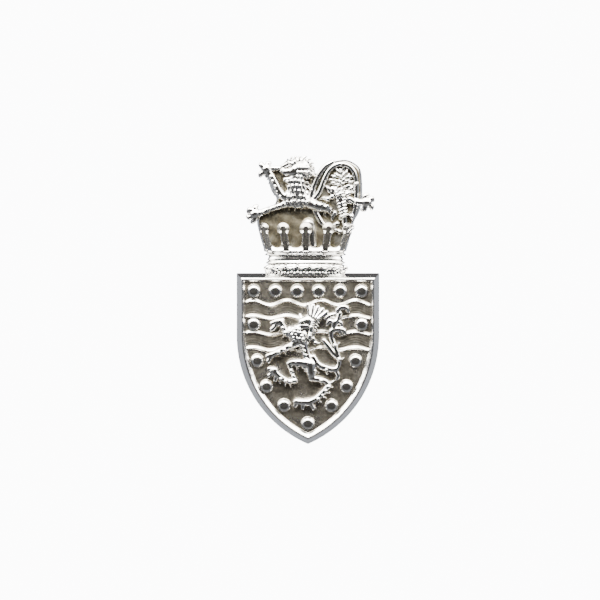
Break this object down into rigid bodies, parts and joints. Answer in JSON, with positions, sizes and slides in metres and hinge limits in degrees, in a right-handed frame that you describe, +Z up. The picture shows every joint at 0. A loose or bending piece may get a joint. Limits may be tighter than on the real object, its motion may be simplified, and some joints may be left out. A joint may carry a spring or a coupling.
{
  "type": "cap badge",
  "caption": "Upright heraldic cap badge with a shield, an applied lion, a crown and a beast crest, on threaded posts with round nuts.",
  "frame": {"origin": "centre of the back plate's rear face, half-way between the two posts, in the plane that lies on the cap", "axes": "+Y out of the back, into the cap; +Z up along the badge, from the shield's point to the crest; the face looks along -Y"},
  "size_m": [0.0244, 0.0128, 0.0489],
  "materials": {
    "silver_plate": "polished, with brownish tarnish in the recesses",
    "brass": "satin",
    "steel": "fine turned grain"
  },
  "bodies": {
    "badge": {"shield_shell": "silver_plate", "roundel_01": "silver_plate", "roundel_02": "silver_plate", "roundel_03": "silver_plate", "roundel_04": "silver_plate", "roundel_05": "silver_plate", "roundel_06": "silver_plate", "roundel_07": "silver_plate", "roundel_08": "silver_plate", "roundel_09": "silver_plate", "roundel_10": "silver_plate", "roundel_11": "silver_plate", "roundel_12": "silver_plate", "roundel_13": "silver_plate", "roundel_14": "silver_plate", "roundel_15": "silver_plate", "lion_charge": "silver_plate", "crown": "silver_plate", "crest_beast": "silver_plate", "back_plate": "brass", "post_upper": "brass", "post_lower": "brass"},
    "clamp": {"clamp_plate": "brass"},
    "washer_up": {"washer_upper": "steel"},
    "washer_low": {"washer_lower": "steel"},
    "nut_up": {"nut_upper": "brass"},
    "nut_low": {"nut_lower": "brass"}
  },
  "joints": [
    {"name": "clamp_slide", "type": "slide", "parent": "badge", "child": "clamp", "axis": [0, 1, 0], "range_m": [-0.0025, 0]},
    {"name": "nut_travel_up", "type": "slide", "parent": "badge", "child": "washer_up", "axis": [0, 1, 0], "range_m": [0, 0.0035]},
    {"name": "nut_turn_up", "type": "hinge", "parent": "washer_up", "child": "nut_up", "pos_m": [0, 0.005, 0.0094], "axis": [0, 1, 0], "range_deg": [0, 2520]},
    {"name": "nut_travel_low", "type": "slide", "parent": "badge", "child": "washer_low", "axis": [0, 1, 0], "range_m": [0, 0.0035]},
    {"name": "nut_turn_low", "type": "hinge", "parent": "washer_low", "child": "nut_low", "pos_m": [0, 0.005, -0.0094], "axis": [0, 1, 0], "range_deg": [0, 2520]}
  ],
  "couplings": [
    {"joint": "nut_turn_up", "follows": "nut_travel_up", "rad_per_m": 12566},
    {"joint": "nut_turn_low", "follows": "nut_travel_low", "rad_per_m": 12566}
  ]
}
